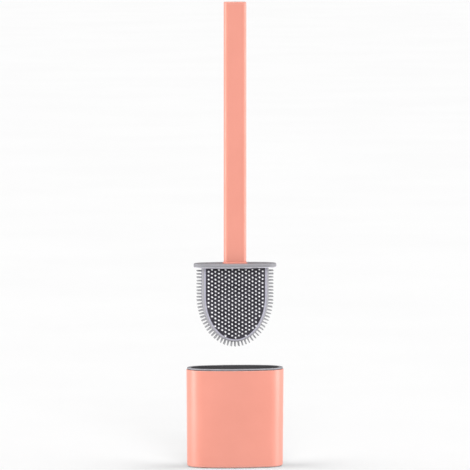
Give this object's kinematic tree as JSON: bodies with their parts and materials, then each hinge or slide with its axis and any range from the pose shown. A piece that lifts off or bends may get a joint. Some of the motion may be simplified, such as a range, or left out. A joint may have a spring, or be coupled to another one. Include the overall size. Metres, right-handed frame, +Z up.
{
  "type": "toilet brush holder",
  "caption": "Slim oval toilet brush holder with a lift-out inner cup, and a flat rubber brush with an oval splash lid and a flat tubular handle, drawn up above it.",
  "frame": {"origin": "on the floor, at the middle of the holder's footprint", "axes": "+Z up along the brush's handle, +X along the long side of the oval, front faces -Y"},
  "size_m": [0.1, 0.05, 0.477],
  "materials": {
    "coral_plastic": "fine satin mould finish",
    "grey_plastic": "smooth satin",
    "core_plastic": "smooth",
    "light_rubber": "matt soft-touch",
    "charcoal_rubber": "matt soft-touch",
    "pin_rubber": "matt soft-touch",
    "pad_rubber": "matt"
  },
  "bodies": {
    "holder": {"holder_shell": "coral_plastic", "foot_pad_front_left": "pad_rubber", "foot_pad_front_right": "pad_rubber", "foot_pad_back_left": "pad_rubber", "foot_pad_back_right": "pad_rubber"},
    "cup": {"inner_cup": "grey_plastic"},
    "brush": {"handle_tube": "coral_plastic", "handle_end_cap": "coral_plastic", "handle_collar": "coral_plastic", "splash_lid": "grey_plastic", "head_core": "core_plastic", "head_frame": "light_rubber", "face_front": "charcoal_rubber", "face_back": "charcoal_rubber", "pins_front": "pin_rubber", "pins_back": "pin_rubber"}
  },
  "joints": [
    {"name": "cup_lift", "type": "slide", "parent": "holder", "child": "cup", "axis": [0, 0, 1], "range_m": [0, 0.11]},
    {"name": "brush_lift", "type": "slide", "parent": "cup", "child": "brush", "axis": [0, 0, 1], "range_m": [-0.1074, 0]}
  ]
}
